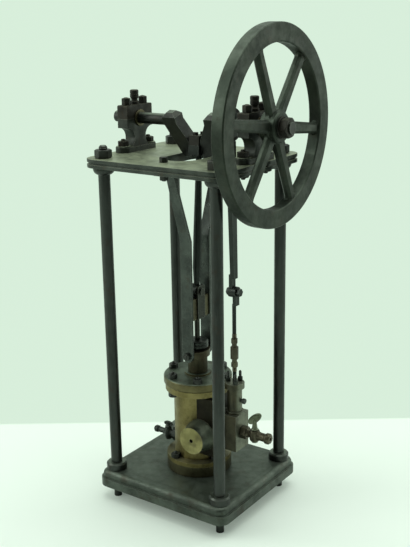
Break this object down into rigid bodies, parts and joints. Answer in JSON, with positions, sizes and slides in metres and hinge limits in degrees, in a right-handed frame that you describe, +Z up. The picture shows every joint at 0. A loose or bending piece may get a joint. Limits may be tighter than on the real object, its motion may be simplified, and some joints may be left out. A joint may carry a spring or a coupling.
{
  "type": "model vertical steam engine",
  "caption": "Model vertical steam engine: an overhead crank and spoked flywheel on a plate, carried by turned columns over an upright cylinder and slide-driven valve chest.",
  "frame": {"origin": "floor level, at the centre of the four feet", "axes": "+X along the crankshaft towards the flywheel, +Y towards the back, +Z up"},
  "size_m": [0.203, 0.1834, 0.4816],
  "materials": {
    "black_iron": "dark oiled casting with a worn patina",
    "worn_steel": "worn and stained steel",
    "bright_steel": "polished steel",
    "brass": "tarnished brass"
  },
  "bodies": {
    "frame": {"base_plate": "black_iron", "front_left_column": "worn_steel", "front_right_column": "worn_steel", "back_left_column": "worn_steel", "back_right_column": "worn_steel", "column_nuts": "worn_steel", "top_plate": "black_iron", "left_pedestal": "black_iron", "right_pedestal": "black_iron", "left_bearing_cap": "black_iron", "right_bearing_cap": "black_iron", "bearing_bushes": "brass", "bearing_bolts": "worn_steel", "front_guide_bar": "black_iron", "back_guide_bar": "black_iron", "guide_bolts": "worn_steel", "cylinder_foot": "brass", "cylinder": "brass", "cylinder_cover": "brass", "cylinder_nuts": "worn_steel", "stuffing_box": "black_iron", "gland": "brass", "port_block": "black_iron", "steam_stub": "brass", "valve_chest": "black_iron", "valve_chest_cover": "worn_steel", "valve_cover_studs": "worn_steel", "right_cock": "brass", "left_cock": "brass"},
    "crank": {"crankshaft": "black_iron", "flywheel": "black_iron", "flywheel_nut": "worn_steel", "eccentric_sheave": "black_iron"},
    "strap": {"eccentric_strap": "black_iron", "eccentric_rod": "worn_steel"},
    "crosshead": {"crosshead": "bright_steel", "crosshead_slippers": "worn_steel", "piston_rod": "bright_steel", "piston": "bright_steel"},
    "rod": {"connecting_rod": "worn_steel", "big_end_cap": "worn_steel", "crank_pin": "bright_steel"},
    "valve": {"valve_spindle": "bright_steel", "valve_coupling": "worn_steel"},
    "right_plug": {"right_cock_plug": "brass"},
    "left_plug": {"left_cock_plug": "brass"}
  },
  "joints": [
    {"name": "crank_spin", "type": "hinge", "parent": "frame", "child": "crank", "pos_m": [0, 0, 0.39], "axis": [1, 0, 0], "continuous": true},
    {"name": "strap_turn", "type": "hinge", "parent": "crank", "child": "strap", "pos_m": [0.0465, -0.004, 0.39], "axis": [1, 0, 0], "continuous": true},
    {"name": "crosshead_slide", "type": "slide", "parent": "frame", "child": "crosshead", "axis": [0, 0, 1], "range_m": [-0.00176, 0.04824]},
    {"name": "rod_swing", "type": "hinge", "parent": "crosshead", "child": "rod", "pos_m": [0.0015, 0, 0.22176], "axis": [1, 0, 0], "range_deg": [-6.55, 13.31]},
    {"name": "valve_slide", "type": "slide", "parent": "frame", "child": "valve", "axis": [0, 0, 1], "range_m": [-0.004, 0.004]},
    {"name": "right_cock_turn", "type": "hinge", "parent": "frame", "child": "right_plug", "pos_m": [0.0702, 0, 0.082], "axis": [0, 0, 1], "range_deg": [0, 90]},
    {"name": "left_cock_turn", "type": "hinge", "parent": "frame", "child": "left_plug", "pos_m": [-0.0385, 0, 0.057], "axis": [0, 0, 1], "range_deg": [0, 90]}
  ],
  "couplings": [
    {"joint": "strap_turn", "follows": "crank_spin", "ratio": -1}
  ]
}
